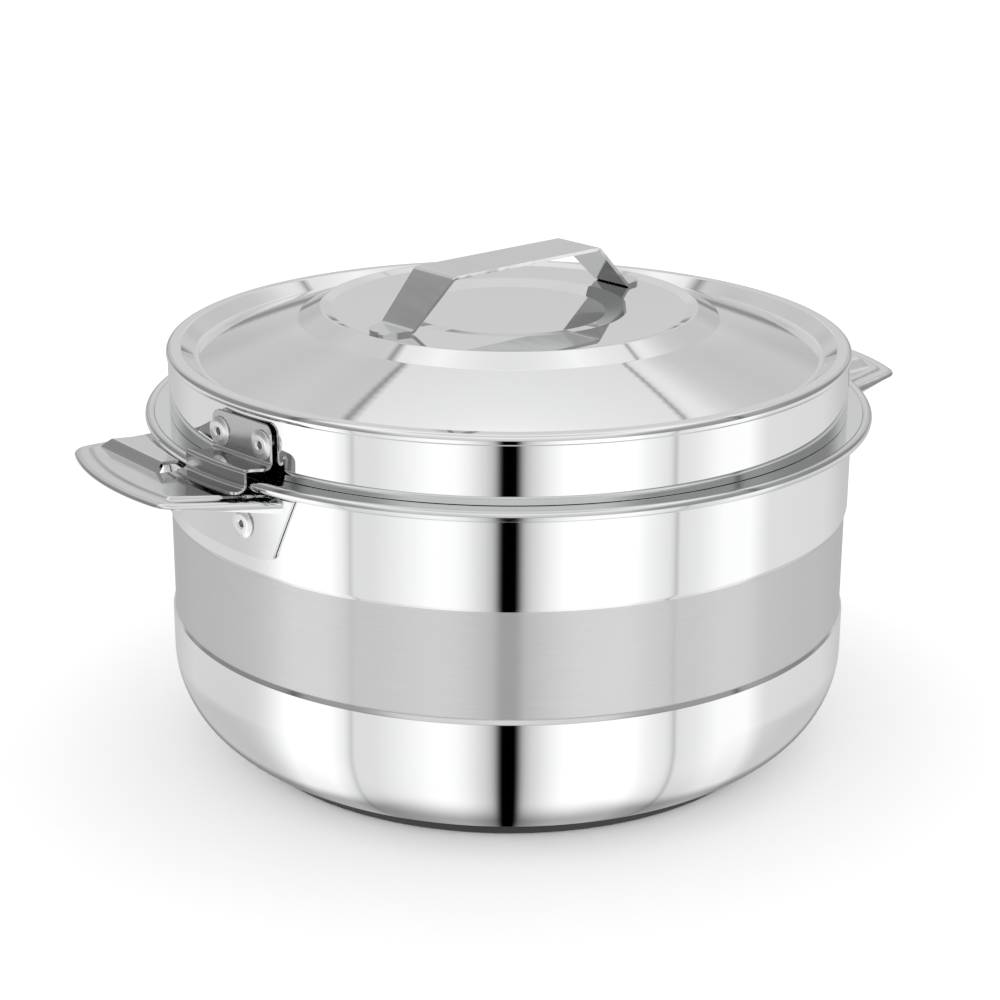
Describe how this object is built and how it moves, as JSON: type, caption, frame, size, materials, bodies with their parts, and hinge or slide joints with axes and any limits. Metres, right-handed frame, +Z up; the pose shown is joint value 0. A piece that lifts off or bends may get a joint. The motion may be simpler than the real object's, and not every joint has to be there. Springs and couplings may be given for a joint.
{
  "type": "insulated casserole",
  "caption": "Round double-walled steel casserole with riveted wing handles and a satin band; its lift-off lid has a strap handle and twists to lock under the handles.",
  "frame": {"origin": "centre of the foot on the floor, on the pot's axis", "axes": "+Z up along the pot's axis, +X towards the right-hand body handle, +Y away from the side shown in the picture"},
  "size_m": [0.3136, 0.2562, 0.1746],
  "materials": {
    "polished_steel": "mirror-polished stainless steel",
    "pan_steel": "finely spun stainless steel",
    "handle_steel": "polished pressed stainless steel",
    "plain_steel": "plain rolled steel sheet",
    "rivet_aluminium": "bright blind rivet",
    "pin_steel": "dull steel rivet pin",
    "seal": "soft translucent silicone",
    "dark_plastic": "dark moulded plastic",
    "foam": "rigid insulating foam"
  },
  "bodies": {
    "pot": {"outer_shell": "polished_steel", "inner_pan": "pan_steel", "pot_insulation": "foam", "base_plate": "plain_steel", "base_ring": "dark_plastic", "fill_plug": "dark_plastic", "left_handle": "handle_steel", "right_handle": "handle_steel", "handle_rivets": "rivet_aluminium", "handle_rivet_pins": "pin_steel", "handle_backing": "plain_steel"},
    "gasket": {"lid_gasket": "seal"},
    "lid": {"lid_outer_shell": "polished_steel", "lid_inner_shell": "pan_steel", "lid_insulation": "foam", "lid_handle": "handle_steel", "left_latch": "handle_steel", "right_latch": "handle_steel", "latch_rivets": "rivet_aluminium", "latch_rivet_pins": "pin_steel", "latch_backing": "plain_steel"}
  },
  "joints": [
    {"name": "lid_lift", "type": "slide", "parent": "pot", "child": "gasket", "axis": [0, 0, 1], "range_m": [0, 0.15]},
    {"name": "lid_turn", "type": "hinge", "parent": "gasket", "child": "lid", "pos_m": [0, 0, 0.1262], "axis": [0, 0, 1], "range_deg": [-14, 0]}
  ]
}
